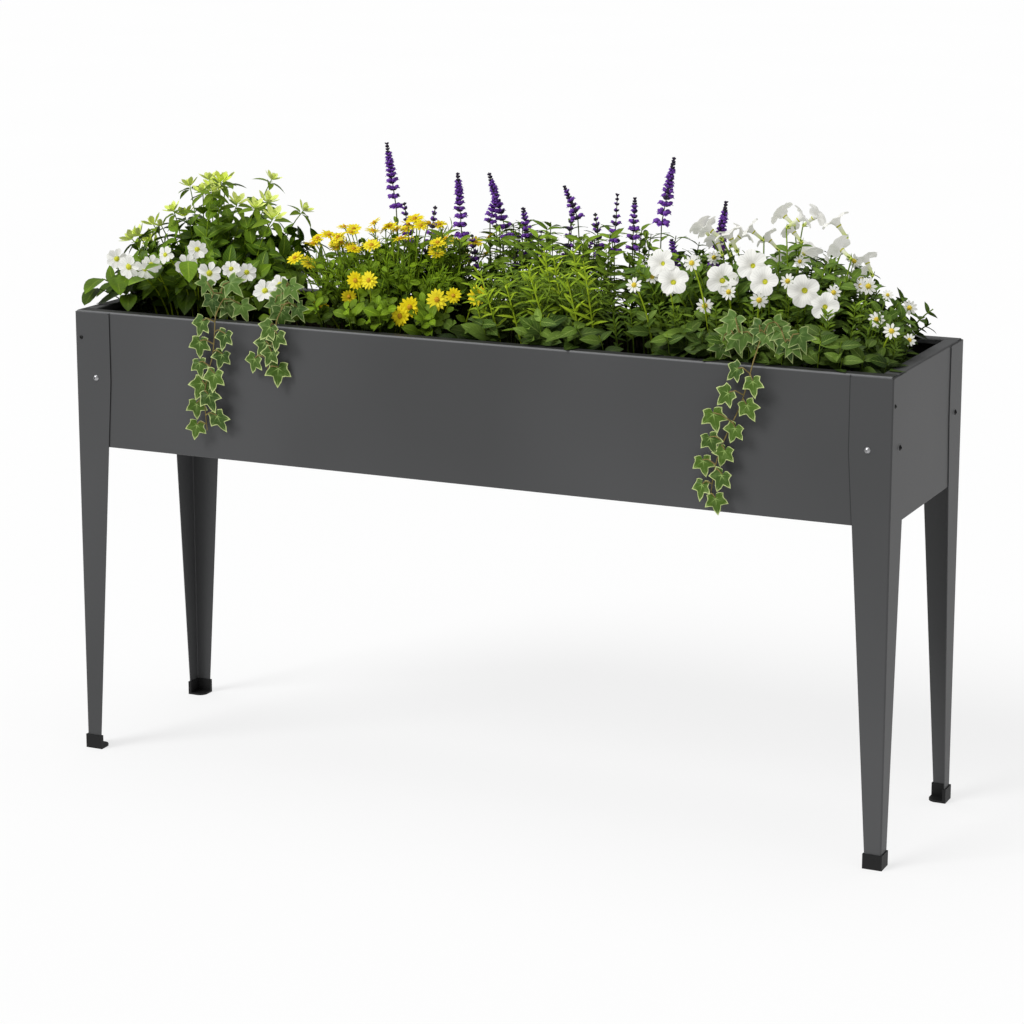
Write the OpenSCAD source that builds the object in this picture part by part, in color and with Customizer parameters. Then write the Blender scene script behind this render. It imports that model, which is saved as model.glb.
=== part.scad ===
// Raised planter on legs: a folded steel trough on four tapered angle legs, planted up.
// Millimetres, +Z up, origin on the ground at the middle of the footprint, front towards -Y.

/* [Overall] */
// Length over the legs
overall_l = 1500; // [1200:10:1800]
// Width over the legs
overall_w = 385; // [320:5:480]
// Height from the ground to the top of the rim
overall_h = 805; // [640:5:1000]

/* [Trough] */
// Height of the trough's side panels
trough_h = 243; // [190:1:300]
// Thickness of the panel sheet
panel_t = 1.2; // [0.8:0.1:2]
// Outside radius of the bends in the panels
panel_bend_r = 3; // [2.5:0.5:5]
// Width of the lip that folds inwards round the rim
lip_w = 25; // [18:1:35]
// Height of the hem that turns down from the lip
hem_h = 9; // [7:1:15]
// Width of the flange that folds inwards under each panel
base_flange_w = 28; // [24:1:36]
// Height of the floor pan above the bottom flanges
floor_rise = 16; // [12:1:25]
// Diameter of the drain holes
drain_d = 9; // [6:1:14]
// Depth from the rim down to the potting soil
soil_drop = 45; // [35:1:70]

/* [Legs] */
// Thickness of the leg sheet
leg_t = 1.6; // [1.2:0.1:2.5]
// Outside radius of the leg's corner bend
leg_bend_r = 3.2; // [2.8:0.2:5]
// Width of each leg flange beside the trough
leg_top_w = 70; // [60:1:85]
// Width of each leg flange at the ground
leg_foot_w = 27; // [22:1:36]
// Drop of the leg's top edge below the rim
leg_top_drop = 2.5; // [2:0.5:6]
// Height of the plastic foot caps
cap_h = 25; // [18:1:35]
// Wall thickness of the foot caps
cap_wall = 2; // [1.5:0.5:3]
// Thickness of the sole of the foot caps
cap_sole = 3.5; // [2.5:0.5:6]

/* [Fasteners] */
// Drop of the leg bolts below the rim
bolt_drop = 119; // [100:1:130]
// Distance of the leg bolts from the leg's corner
bolt_inset = 40; // [35:1:45]
// Thread diameter of the leg bolts
bolt_d = 6; // [5:0.5:8]
// Length of the leg bolts under the head
bolt_l = 12; // [11:1:16]
// Drop of the corner screws below the rim
screw_drop = 48; // [35:1:60]
// Distance of the corner screws from the leg's corner
screw_inset = 12; // [11:1:16]
// Thread diameter of the corner screws and brace screws
screw_d = 4; // [3:0.5:5]
// Length of the corner screws and brace screws under the head
screw_l = 9; // [8:1:11]

/* [Braces] */
// Number of braces under the floor pan
brace_count = 3; // [2:1:5]
// Width of a brace across its top
brace_top_w = 24; // [18:1:36]
// Width of each foot flange of a brace
brace_foot_w = 16; // [14:1:20]
// Thickness of the brace sheet
brace_t = 1.5; // [1:0.1:2.5]

/* [Planting] */
// Overhang of the planting beyond each side of the trough
plant_overhang = 34; // [25:1:45]
// Length of the white-flowered bush at the left end
white_bush_l = 390; // [280:5:450]
// Height of the white-flowered bush above the rim
white_bush_h = 255; // [200:5:300]
// Length of the petunia bush at the right end
petunia_bush_l = 375; // [280:5:450]
// Height of the petunia bush above the rim
petunia_bush_h = 228; // [190:5:270]
// Height of the yellow daisies above the rim
yellow_bush_h = 165; // [130:5:200]
// Height of the fine-leaved foliage above the rim
fine_bush_h = 152; // [130:5:190]
// Height of the small white daisies above the rim
daisy_bush_h = 146; // [130:5:190]
// Height of the salvia's leaves above the rim
salvia_bush_h = 152; // [130:5:200]
// Height of the tallest salvia flower spike above the rim
spike_h = 305; // [260:5:340]
// Drop of the left ivy trail below the rim
ivy_left_drop = 205; // [60:5:240]
// Drop of the middle ivy trail below the rim
ivy_middle_drop = 105; // [60:5:240]
// Drop of the right ivy trail below the rim
ivy_right_drop = 238; // [60:5:260]

/* [Hidden] */
$fn = 48;

steel = "dimgray";
zinc = "silver";
black = [0.06, 0.06, 0.06];
gap = 0.3;        // clearance between sheets that meet edge to edge
hole_gap = 0.3;   // radial clearance of a fastener in its hole
thread_gap = 0.05; // radial clearance of a nut on its thread
through = 1;      // how far a cutting tool passes a face

rim_z = overall_h;
base_z = overall_h - trough_h;
half_l = overall_l / 2;
half_w = overall_w / 2;
// Corners in turn round the trough, and so the quarter turns of the one leg that all four share
corner_signs = [[-1, -1], [1, -1], [1, 1], [-1, 1]];

// ---- sheet metal ----

// A quarter ring of a bend in the plane, in the quadrant that sx and sy give
module bend_ring(r, t, sx, sy) {
    intersection() {
        difference() {
            circle(r);
            circle(r - t);
        }
        translate([sx > 0 ? 0 : -r, sy > 0 ? 0 : -r]) square(r);
    }
}

// Section of a side panel: x runs inwards from the outer face, y up from the panel's lower edge
module panel_section() {
    r = panel_bend_r;
    t = panel_t;
    translate([0, r]) square([t, trough_h - 2 * r]);
    translate([r, r]) bend_ring(r, t, -1, -1);
    translate([r, 0]) square([base_flange_w - r, t]);
    translate([r, trough_h - r]) bend_ring(r, t, -1, 1);
    translate([r, trough_h - t]) square([lip_w - 2 * r, t]);
    translate([lip_w - r, trough_h - r]) bend_ring(r, t, 1, 1);
    translate([lip_w - t, trough_h - hem_h]) square([t, hem_h - r]);
}

// A side panel of length l, along X, centred, its outer face at y = 0 and its inside towards +Y
module panel_blank(l) {
    translate([-l / 2, 0, base_z]) rotate([90, 0, 90]) linear_extrude(l) panel_section();
}

long_l = overall_l - 2 * leg_bend_r - 2 * gap;
end_l = overall_w - 2 * leg_t - 2 * panel_t - 2 * gap;
long_hem_l = overall_l - 2 * leg_t - 2 * lip_w - 2 * gap;
end_lip_l = overall_w - 2 * leg_t - 2 * lip_w - 2 * gap;
end_flange_l = overall_w - 2 * leg_t - 2 * base_flange_w - 2 * gap;

// The long panels' lips and flanges run right to the corners. Their hems stop at the end lips.
module long_panel() {
    difference() {
        panel_blank(long_l);
        for (s = [-1, 1])
            translate([s > 0 ? long_hem_l / 2 : -long_l / 2 - through, panel_t + gap, rim_z - hem_h - through])
                cube([(long_l - long_hem_l) / 2 + through, lip_w, hem_h + through - panel_bend_r]);
        for (x = brace_xs, s = [-1, 1])
            translate([x + s * brace_screw_x, brace_screw_u, base_z - through])
                cylinder(r = screw_d / 2 + hole_gap, h = panel_t + 2 * through);
    }
}

// The end panels are notched where the long panels' lips and flanges pass them.
module end_panel() {
    difference() {
        panel_blank(end_l);
        for (s = [-1, 1]) {
            notch_top_l = (end_l - end_lip_l) / 2;
            translate([s > 0 ? end_lip_l / 2 : -end_l / 2 - through, -through, rim_z - panel_t - gap])
                cube([notch_top_l + through, lip_w + 2 * through, panel_t + gap + through]);
            translate([s > 0 ? end_lip_l / 2 : -end_l / 2 - through, panel_t, rim_z - hem_h - through])
                cube([notch_top_l + through, lip_w + through, hem_h + 2 * through]);
            notch_base_l = (end_l - end_flange_l) / 2;
            translate([s > 0 ? end_flange_l / 2 : -end_l / 2 - through, -through, base_z - through])
                cube([notch_base_l + through, base_flange_w + 2 * through, through + panel_t + gap]);
            translate([s > 0 ? end_flange_l / 2 : -end_l / 2 - through, panel_t, base_z - through])
                cube([notch_base_l + through, base_flange_w + through, panel_bend_r + 2 * through]);
        }
    }
}

module place_front() { translate([0, -half_w + leg_t, 0]) children(); }
module place_back() { rotate([0, 0, 180]) place_front() children(); }
module place_right() { translate([half_l - leg_t, 0, 0]) rotate([0, 0, 90]) children(); }
module place_left() { rotate([0, 0, 180]) place_right() children(); }

module front_panel() {
    color(steel) difference() {
        place_front() long_panel();
        leg_holes();
    }
}
module back_panel() {
    color(steel) difference() {
        place_back() long_panel();
        leg_holes();
    }
}
module left_end_panel() {
    color(steel) difference() {
        place_left() end_panel();
        leg_holes();
    }
}
module right_end_panel() {
    color(steel) difference() {
        place_right() end_panel();
        leg_holes();
    }
}

// ---- floor pan and its braces ----

pan_l = overall_l - 2 * leg_t - 2 * panel_bend_r - 2 * gap;
pan_w = overall_w - 2 * leg_t - 2 * panel_bend_r - 2 * gap;
pan_base_z = base_z + panel_t;
floor_z = pan_base_z + floor_rise;
brace_h = floor_rise - panel_t;
brace_l = pan_w - 2 * panel_t - 2 * gap;
brace_pitch = overall_l / (brace_count + 1);
brace_xs = [for (i = [1 : brace_count]) -half_l + i * brace_pitch];
brace_screw_x = brace_top_w / 2 + brace_foot_w / 2;
// Distance of the brace screws in from the outer face of the long panels
brace_screw_u = base_flange_w - screw_nut_w() / 2 - 2;
drain_row_y = overall_w / 4;
drain_step = brace_pitch / 3;
function screw_nut_w() = 1.75 * screw_d;

// An inverted tray that stands on the bottom flanges, with drain holes in the bays between braces
module floor_pan() {
    color(steel) difference() {
        translate([-pan_l / 2, -pan_w / 2, pan_base_z]) cube([pan_l, pan_w, floor_rise]);
        translate([-pan_l / 2 + panel_t, -pan_w / 2 + panel_t, pan_base_z - through])
            cube([pan_l - 2 * panel_t, pan_w - 2 * panel_t, floor_rise - panel_t + through]);
        for (bay = [0 : brace_count], s = [-1, 1], y = [-drain_row_y, drain_row_y])
            translate([-half_l + (bay + 0.5) * brace_pitch + s * drain_step / 2, y, floor_z - panel_t - through])
                cylinder(d = drain_d, h = panel_t + 2 * through);
    }
}

// Section of a brace: a hat whose feet stand on the bottom flanges and whose top carries the pan
module hat_section() {
    foot_x = brace_top_w / 2 - brace_t;
    translate([-brace_top_w / 2, brace_h - brace_t]) square([brace_top_w, brace_t]);
    for (s = [-1, 1]) {
        translate([s > 0 ? foot_x : -brace_top_w / 2, 0]) square([brace_t, brace_h]);
        translate([s > 0 ? foot_x : -foot_x - brace_t - brace_foot_w, 0]) square([brace_t + brace_foot_w, brace_t]);
    }
}

module brace(x) {
    color(zinc) difference() {
        translate([x, brace_l / 2, pan_base_z]) rotate([90, 0, 0]) linear_extrude(brace_l) hat_section();
        for (s = [-1, 1], y = [-1, 1])
            translate([x + s * brace_screw_x, y * brace_screw_y, pan_base_z - through])
                cylinder(r = screw_d / 2 + hole_gap, h = brace_t + 2 * through);
    }
}
brace_screw_y = half_w - leg_t - brace_screw_u;
module brace_left() { brace(brace_xs[0]); }
module brace_middle() { for (i = [1 : 1 : brace_count - 2]) brace(brace_xs[i]); }
module brace_right() { brace(brace_xs[brace_count - 1]); }

// ---- legs ----

leg_top_z = rim_z - leg_top_drop;
bolt_z = rim_z - bolt_drop;
screw_z = rim_z - screw_drop;
leg_taper_z = bolt_z - 5;
leg_corner_cut = 3;
function leg_w(z) = leg_foot_w + (leg_top_w - leg_foot_w) * min(1, z / leg_taper_z);

// Moves a part from the leg's own corner, where it points along +X and +Y, to corner i of the trough
module at_corner(i) {
    translate([corner_signs[i][0] * half_l, corner_signs[i][1] * half_w, 0]) rotate([0, 0, 90 * i]) children();
}

// One flange of a leg, along +X from the corner, its outer face at y = 0
module leg_flange() {
    translate([0, leg_t, 0]) rotate([90, 0, 0]) linear_extrude(leg_t) polygon([
        [leg_bend_r, cap_sole], [leg_w(cap_sole), cap_sole],
        [leg_top_w, leg_taper_z], [leg_top_w, leg_top_z - leg_corner_cut],
        [leg_top_w - leg_corner_cut, leg_top_z], [leg_bend_r, leg_top_z]]);
}

module leg_blank() {
    leg_flange();
    mirror([1, -1, 0]) leg_flange();
    translate([leg_bend_r, leg_bend_r, cap_sole])
        linear_extrude(leg_top_z - cap_sole) bend_ring(leg_bend_r, leg_t, -1, -1);
}

// Places a fastener on both flanges of a leg, its axis inwards along +Y at the leg's bolt position
module on_both_flanges() {
    translate([bolt_inset, 0, bolt_z]) children();
    mirror([1, -1, 0]) translate([bolt_inset, 0, bolt_z]) children();
}
// The corner screw goes through the first flange only
module on_first_flange() { translate([screw_inset, 0, screw_z]) children(); }
// A hole or pocket along +Y
module bore_y(r, from, to) { translate([0, from, 0]) rotate([-90, 0, 0]) cylinder(r = r, h = to - from); }

// The holes that the leg fasteners need, through legs and panels
module leg_holes() {
    stack = leg_t + panel_t;
    for (i = [0 : 3]) at_corner(i) {
        on_both_flanges() bore_y(bolt_d / 2 + hole_gap, -through, stack + through);
        on_first_flange() bore_y(screw_d / 2 + hole_gap, -through, stack + through);
    }
}

module leg(i) {
    color(steel) difference() {
        at_corner(i) leg_blank();
        leg_holes();
    }
}
module leg_front_left() { leg(0); }
module leg_front_right() { leg(1); }
module leg_back_right() { leg(2); }
module leg_back_left() { leg(3); }

// ---- foot caps ----

cap_slot_gap = 0.15;
cap_reach = leg_w(cap_h) + cap_slot_gap + cap_wall;
cap_out = cap_slot_gap + cap_wall;
cap_toe_r = 15;

// An angle-shaped outline from -out to inner across each arm and to reach along it
module angle_outline(out, reach, inner) {
    translate([-out, -out]) square([reach + out, inner + out]);
    translate([-out, -out]) square([inner + out, reach + out]);
}
// Outline of the leg's end with clearance, its inner bend included
module leg_slot() {
    angle_outline(cap_slot_gap, leg_w(cap_h) + cap_slot_gap, leg_t + cap_slot_gap);
    difference() {
        square(leg_bend_r);
        translate([leg_bend_r, leg_bend_r]) circle(leg_bend_r - leg_t - cap_slot_gap);
    }
}

module foot_cap() {
    difference() {
        union() {
            linear_extrude(cap_h) angle_outline(cap_out, cap_reach, leg_t + cap_out);
            linear_extrude(cap_sole) {
                translate([-cap_out, -cap_out]) square([cap_reach - cap_toe_r + cap_out, cap_reach + cap_out]);
                translate([-cap_out, -cap_out]) square([cap_reach + cap_out, cap_reach - cap_toe_r + cap_out]);
                translate([cap_reach - cap_toe_r, cap_reach - cap_toe_r]) circle(cap_toe_r);
            }
        }
        translate([0, 0, cap_sole]) linear_extrude(cap_h) leg_slot();
    }
}
module foot(i) { color(black) at_corner(i) foot_cap(); }
module foot_front_left() { foot(0); }
module foot_front_right() { foot(1); }
module foot_back_right() { foot(2); }
module foot_back_left() { foot(3); }

// ---- fasteners, each along +Y with the underside of its head at y = 0 ----

bolt_head_d = 1.8 * bolt_d;
bolt_head_h = 0.55 * bolt_d;
screw_head_d = 1.9 * screw_d;
screw_head_h = 0.5 * screw_d;

// A domed head with a hexagon socket, on a plain shank
module button_screw(d, l, head_d, head_h) {
    dome_r = (head_d * head_d / 4 + head_h * head_h) / (2 * head_h);
    socket_r = 0.38 * d;
    rotate([-90, 0, 0]) {
        difference() {
            intersection() {
                translate([0, 0, dome_r - head_h]) sphere(dome_r);
                translate([0, 0, -head_h]) cylinder(d = head_d, h = head_h);
            }
            translate([0, 0, -head_h - through]) cylinder(r = socket_r, h = 0.6 * head_h + through, $fn = 6);
        }
        cylinder(d = d, h = l);
    }
}

// A flanged hexagon nut on a thread of diameter d, standing on y = 0
module flange_nut(d) {
    width = 1.75 * d;
    rotate([-90, 0, 0]) difference() {
        union() {
            cylinder(r = width / 2, h = 0.2 * d);
            cylinder(r = width / 2 - 0.05 * d, h = 0.85 * d, $fn = 6);
        }
        translate([0, 0, -through]) cylinder(r = d / 2 + thread_gap, h = d + 2 * through);
    }
}

module leg_bolts() {
    color(zinc) for (i = [0 : 3]) at_corner(i)
        on_both_flanges() button_screw(bolt_d, bolt_l, bolt_head_d, bolt_head_h);
}
module leg_nuts() {
    color(zinc) for (i = [0 : 3]) at_corner(i)
        on_both_flanges() translate([0, leg_t + panel_t, 0]) flange_nut(bolt_d);
}
module corner_screws() {
    color(black) for (i = [0 : 3]) at_corner(i)
        on_first_flange() button_screw(screw_d, screw_l, screw_head_d, screw_head_h);
}
module corner_nuts() {
    color(zinc) for (i = [0 : 3]) at_corner(i)
        on_first_flange() translate([0, leg_t + panel_t, 0]) flange_nut(screw_d);
}

// Places a fastener at each foot of each brace, its axis turned to point up
module at_brace_feet(z) {
    for (x = brace_xs, s = [-1, 1], y = [-1, 1])
        translate([x + s * brace_screw_x, y * brace_screw_y, z]) rotate([90, 0, 0]) children();
}
module brace_screws() {
    color(zinc) at_brace_feet(base_z) button_screw(screw_d, screw_l, screw_head_d, screw_head_h);
}
module brace_nuts() {
    color(zinc) at_brace_feet(pan_base_z + brace_t) flange_nut(screw_d);
}

// ---- soil and plants ----

soil_z = rim_z - soil_drop;
soil_gap = 0.5;
soil_l = overall_l - 2 * leg_t - 2 * panel_t - 2 * soil_gap;
soil_w = overall_w - 2 * leg_t - 2 * panel_t - 2 * soil_gap;

// Fills the trough above the pan, with pockets round the ends of the bolts and screws
module potting_soil() {
    color([0.10, 0.07, 0.05]) difference() {
        translate([-soil_l / 2, -soil_w / 2, floor_z]) cube([soil_l, soil_w, soil_z - floor_z]);
        for (i = [0 : 3]) at_corner(i) {
            on_both_flanges() bore_y(bolt_d, 0, bolt_l + 2 * soil_gap);
            on_first_flange() bore_y(screw_d + 2 * soil_gap, 0, screw_l + 2 * soil_gap);
        }
    }
}

plant_gap = 5;
lip_clear = 8; // room between the plants' stems and the lips
side_y = half_w + plant_overhang;
end_x = half_l + plant_overhang;
mouth_x = half_l - leg_t - lip_w - lip_clear;
row_depth = 58; // free strip of soil along the front and the back
crown_lift = 2; // how far above the rim a bush starts to spread
crown_inset = 3; // how much narrower its crown starts than its stems, on each side
row_y = half_w - leg_t - lip_w - row_depth;

// A bush: stems on a rectangle of soil, and above the rim a crown with rounded shoulders. x and y are
// [low, high] of the crown, base_x and base_y are [low, high] of the stems, h is above the rim, and
// the crown's ridge ends at a share of the length from either end.
module bush(x, y, base_x, base_y, h, r, ridge_end = 0.35) {
    base = [base_x[1] - base_x[0], base_y[1] - base_y[0]];
    mid_y = (y[0] + y[1]) / 2;
    shoulder_z = rim_z + 0.42 * h;
    translate([base_x[0], base_y[0], soil_z]) cube([base[0], base[1], soil_drop + 2 * crown_lift]);
    hull() {
        translate([base_x[0] + crown_inset, base_y[0] + crown_inset, rim_z + crown_lift])
            cube([base[0] - 2 * crown_inset, base[1] - 2 * crown_inset, 3 * crown_lift]);
        for (cx = [x[0] + r, x[1] - r], cy = [y[0] + r, y[1] - r])
            translate([cx, cy, shoulder_z]) sphere(r, $fn = 28);
        for (share = [ridge_end, 1 - ridge_end])
            translate([x[0] + share * (x[1] - x[0]), mid_y, rim_z + h - r]) sphere(r, $fn = 28);
    }
}

// The end bushes keep their lengths. The three along the front share the room between them.
white_x = [-end_x, -end_x + white_bush_l];
petunia_x = [end_x - petunia_bush_l, end_x];
room_l = petunia_x[0] - white_x[1] - 4 * plant_gap;
yellow_l = 0.44 * room_l;
fine_l = 0.34 * room_l;
yellow_x = [white_x[1] + plant_gap, white_x[1] + plant_gap + yellow_l];
fine_x = [yellow_x[1] + plant_gap, yellow_x[1] + plant_gap + fine_l];
daisy_x = [fine_x[1] + plant_gap, petunia_x[0] - plant_gap];
salvia_x = [yellow_x[0], daisy_x[1]];
whole_y = [-half_w, side_y];
front_y = [-half_w, -plant_gap];
back_y = [plant_gap, side_y];
whole_stem_y = [-row_y, row_y];
front_stem_y = [-row_y, -4 * plant_gap];
back_stem_y = [4 * plant_gap, row_y];
end_crown_r = 55;
front_crown_r = 40;
function stem_x(x) = [x[0] + 4 * plant_gap, x[1] - 4 * plant_gap];

module white_flower_bush() {
    color("yellowgreen")
        bush(white_x, whole_y, [-mouth_x, white_x[1] - 4 * plant_gap], whole_stem_y, white_bush_h, end_crown_r);
}
module petunia_bush() {
    color("ivory")
        bush(petunia_x, whole_y, [petunia_x[0] + 4 * plant_gap, mouth_x], whole_stem_y, petunia_bush_h, end_crown_r);
}
module yellow_daisy_bush() {
    color("gold") bush(yellow_x, front_y, stem_x(yellow_x), front_stem_y, yellow_bush_h, front_crown_r);
}
module fine_leaf_bush() {
    color("olivedrab") bush(fine_x, front_y, stem_x(fine_x), front_stem_y, fine_bush_h, front_crown_r);
}
module small_daisy_bush() {
    color("white") bush(daisy_x, front_y, stem_x(daisy_x), front_stem_y, daisy_bush_h, front_crown_r);
}

// Flower spikes: [share of the salvia's length, share of the tallest spike's height]
salvia_spikes = [[0.16, 0.76], [0.26, 1], [0.39, 0.73], [0.48, 0.84], [0.55, 0.82], [0.61, 0.84],
                 [0.68, 0.73], [0.76, 1], [0.83, 0.76], [0.87, 0.7]];
salvia_ridge_end = 0.1;
spike_r = 11;
spike_tip_r = 3;
module salvia_bush() {
    color("darkgreen")
        bush(salvia_x, back_y, stem_x(salvia_x), back_stem_y, salvia_bush_h, front_crown_r, salvia_ridge_end);
}
// The spikes stand on the level ridge of the salvia's leaves
module salvia_spikes() {
    color("indigo") for (s = salvia_spikes)
        translate([salvia_x[0] + s[0] * (salvia_x[1] - salvia_x[0]), (back_y[0] + back_y[1]) / 2, rim_z + salvia_bush_h])
            cylinder(r1 = spike_r, r2 = spike_tip_r, h = s[1] * spike_h - salvia_bush_h);
}

// Section of an ivy trail, which rises from the soil, crosses the lip and hangs down the front
ivy_clear = 1;
ivy_t = 7;
module ivy_section(drop) {
    in_y = -half_w + leg_t + lip_w + ivy_clear;
    out_y = -half_w - ivy_clear;
    polygon([[in_y, soil_z], [in_y + ivy_t, soil_z], [in_y + ivy_t, rim_z + ivy_clear + ivy_t],
             [-side_y, rim_z + ivy_clear + ivy_t], [-side_y, rim_z - 0.6 * drop],
             [out_y - ivy_t, rim_z - drop], [out_y, rim_z - drop],
             [out_y, rim_z + ivy_clear], [in_y, rim_z + ivy_clear]]);
}
// A trail w wide whose left edge is at x
module ivy(x, w, drop) {
    color("darkseagreen") translate([x, 0, 0])
        rotate([90, 0, 90]) linear_extrude(w) ivy_section(drop);
}
ivy_left_w = 150;
ivy_middle_w = 78;
ivy_right_w = 150;
ivy_left_x = -half_l + 195;
ivy_middle_x = ivy_left_x + ivy_left_w + 4 * plant_gap;
ivy_right_x = half_l - 180 - ivy_right_w;
module ivy_left() { ivy(ivy_left_x, ivy_left_w, ivy_left_drop); }
module ivy_middle() { ivy(ivy_middle_x, ivy_middle_w, ivy_middle_drop); }
module ivy_right() { ivy(ivy_right_x, ivy_right_w, ivy_right_drop); }

front_panel();
back_panel();
left_end_panel();
right_end_panel();
floor_pan();
brace_left();
brace_middle();
brace_right();
leg_front_left();
leg_front_right();
leg_back_right();
leg_back_left();
foot_front_left();
foot_front_right();
foot_back_right();
foot_back_left();
leg_bolts();
leg_nuts();
corner_screws();
corner_nuts();
brace_screws();
brace_nuts();
potting_soil();
white_flower_bush();
yellow_daisy_bush();
salvia_bush();
salvia_spikes();
fine_leaf_bush();
small_daisy_bush();
petunia_bush();
ivy_left();
ivy_middle();
ivy_right();
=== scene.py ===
import bmesh
import bpy
import math
import random
from mathutils import Matrix, Vector


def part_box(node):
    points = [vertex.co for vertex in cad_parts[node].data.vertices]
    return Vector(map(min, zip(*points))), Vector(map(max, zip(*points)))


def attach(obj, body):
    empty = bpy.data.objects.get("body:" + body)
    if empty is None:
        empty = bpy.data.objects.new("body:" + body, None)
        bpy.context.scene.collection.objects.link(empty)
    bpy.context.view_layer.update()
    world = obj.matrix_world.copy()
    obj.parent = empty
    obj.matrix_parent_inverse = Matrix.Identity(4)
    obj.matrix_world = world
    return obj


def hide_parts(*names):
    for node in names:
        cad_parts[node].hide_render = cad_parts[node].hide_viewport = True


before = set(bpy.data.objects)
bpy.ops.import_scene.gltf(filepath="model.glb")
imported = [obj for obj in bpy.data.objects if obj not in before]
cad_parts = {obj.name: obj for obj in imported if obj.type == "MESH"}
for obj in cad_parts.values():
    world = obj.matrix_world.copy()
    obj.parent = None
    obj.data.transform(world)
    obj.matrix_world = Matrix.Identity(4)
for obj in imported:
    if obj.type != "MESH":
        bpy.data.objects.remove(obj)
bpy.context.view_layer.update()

mm = 0.001
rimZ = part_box("front_panel")[1].z
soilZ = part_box("potting_soil")[1].z
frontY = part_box("front_panel")[0].y
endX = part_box("leg_front_right")[1].x
up = Vector((0, 0, 1))


class Wire:  # a node's output, ready for sums
    def __init__(self, tree, out):
        self.tree = tree
        self.out = out

    def maths(self, operation, *terms):
        return node(self.tree, "ShaderNodeMath", {"operation": operation}, dict(enumerate(terms)))

    def __add__(self, other):
        return self.maths("ADD", self, other)

    def __radd__(self, other):
        return self.maths("ADD", other, self)

    def __sub__(self, other):
        return self.maths("SUBTRACT", self, other)

    def __rsub__(self, other):
        return self.maths("SUBTRACT", other, self)

    def __mul__(self, other):
        return self.maths("MULTIPLY", self, other)

    def __rmul__(self, other):
        return self.maths("MULTIPLY", other, self)

    def __truediv__(self, other):
        return self.maths("DIVIDE", self, other)

    def __abs__(self):
        return self.maths("ABSOLUTE", self)

    def fract(self):
        return self.maths("FRACT", self)

    def clamped(self):
        return self.maths("MINIMUM", self.maths("MAXIMUM", self, 0.0), 1.0)

    def between(self, low, high):  # 0 at low, 1 at high
        return ((self - low) / (high - low)).clamped()


def node(tree, kind, settings=None, sockets=None, out=0):
    made = tree.nodes.new(kind)
    for key, value in (settings or {}).items():
        setattr(made, key, value)
    for key, value in (sockets or {}).items():
        if isinstance(value, Wire):
            tree.links.new(value.out, made.inputs[key])
        else:
            made.inputs[key].default_value = value
    return Wire(tree, made.outputs[out])


def blend(factor, first, second):
    return node(factor.tree, "ShaderNodeMix", {"data_type": "RGBA"}, {0: factor, 6: first, 7: second}, 2)


def rgb(red, green, blue):
    return (red, green, blue, 1.0)


def noiseOf(tree, scale, detail=2.0, source="Object", rough=0.5):
    place = node(tree, "ShaderNodeTexCoord", out=source)
    sockets = {"Vector": place, "Scale": scale, "Detail": detail, "Roughness": rough}
    return node(tree, "ShaderNodeTexNoise", {}, sockets)


def bump(height, strength, distance):
    sockets = {"Height": height, "Strength": strength, "Distance": distance}
    return node(height.tree, "ShaderNodeBump", {}, sockets)


def newPaint(name):
    paint = bpy.data.materials.new(name)
    paint.use_nodes = True
    return paint, paint.node_tree


def coat(paint, **looks):
    shader = paint.node_tree.nodes["Principled BSDF"]
    for key, value in looks.items():
        socket = shader.inputs[key.replace("_", " ")]
        if isinstance(value, Wire):
            paint.node_tree.links.new(value.out, socket)
        else:
            socket.default_value = value
    return paint


def parts(tree, source):
    split = tree.nodes.new("ShaderNodeSeparateXYZ")
    tree.links.new(node(tree, "ShaderNodeTexCoord", out=source).out, split.inputs[0])
    return [Wire(tree, out) for out in split.outputs]


def tintOf(tree):
    return node(tree, "ShaderNodeAttribute", {"attribute_name": "tint"}, out="Fac")


legTaperZ = rimZ - 0.124  # below this the legs taper


def steelPaint():
    paint, tree = newPaint("anthracite_powder_coat")
    x, y, z = parts(tree, "Object")
    cloud = noiseOf(tree, 1.9, 2.0)
    grain = noiseOf(tree, 900.0, 2.0)
    tone = blend(cloud.between(0.3, 0.7), rgb(0.05, 0.051, 0.052), rgb(0.069, 0.07, 0.072))
    # painted shade: the top of the front lip is painted near-black; painted highlight: its outer fold is
    # painted light grey
    frontLipShade = z.between(rimZ - 0.0016, rimZ - 0.001) * y.between(frontY + 0.026, frontY + 0.024)
    bendHighlight = z.between(rimZ - 0.0035, rimZ - 0.002) * y.between(frontY + 0.0035, frontY + 0.0025)
    lip = blend(bendHighlight, blend(frontLipShade, tone, rgb(0.022, 0.022, 0.022)), rgb(0.12, 0.122, 0.125))
    legEdge = endX - 0.027 - 0.043 * (z / legTaperZ).clamped()
    gap = abs(x) - legEdge  # painted shade in the gap beside each leg, on the long panels
    halfWidth = -frontY
    onPanel = (abs(y).between(halfWidth - 0.001, halfWidth - 0.0006)
               * abs(y).between(halfWidth + 0.0009, halfWidth + 0.0005))
    # painted shade: a dark line on each long panel beside the leg's edge
    seamShade = gap.between(-0.0026, -0.001) * gap.between(0.0006, 0.0004) * onPanel
    # painted shade: a dark line along the top fold of each end panel
    endFoldShade = abs(x).between(endX - 0.0025, endX - 0.0015) * z.between(rimZ - 0.004, rimZ - 0.003)
    colour = blend(seamShade * 0.8, blend(endFoldShade * 0.8, lip, rgb(0.008, 0.008, 0.008)), rgb(0.01, 0.01, 0.01))
    return coat(paint, Base_Color=colour, Roughness=0.44 + 0.1 * grain, Normal=bump(grain, 0.12, 0.0004),
                Specular_IOR_Level=0.3)


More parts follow.
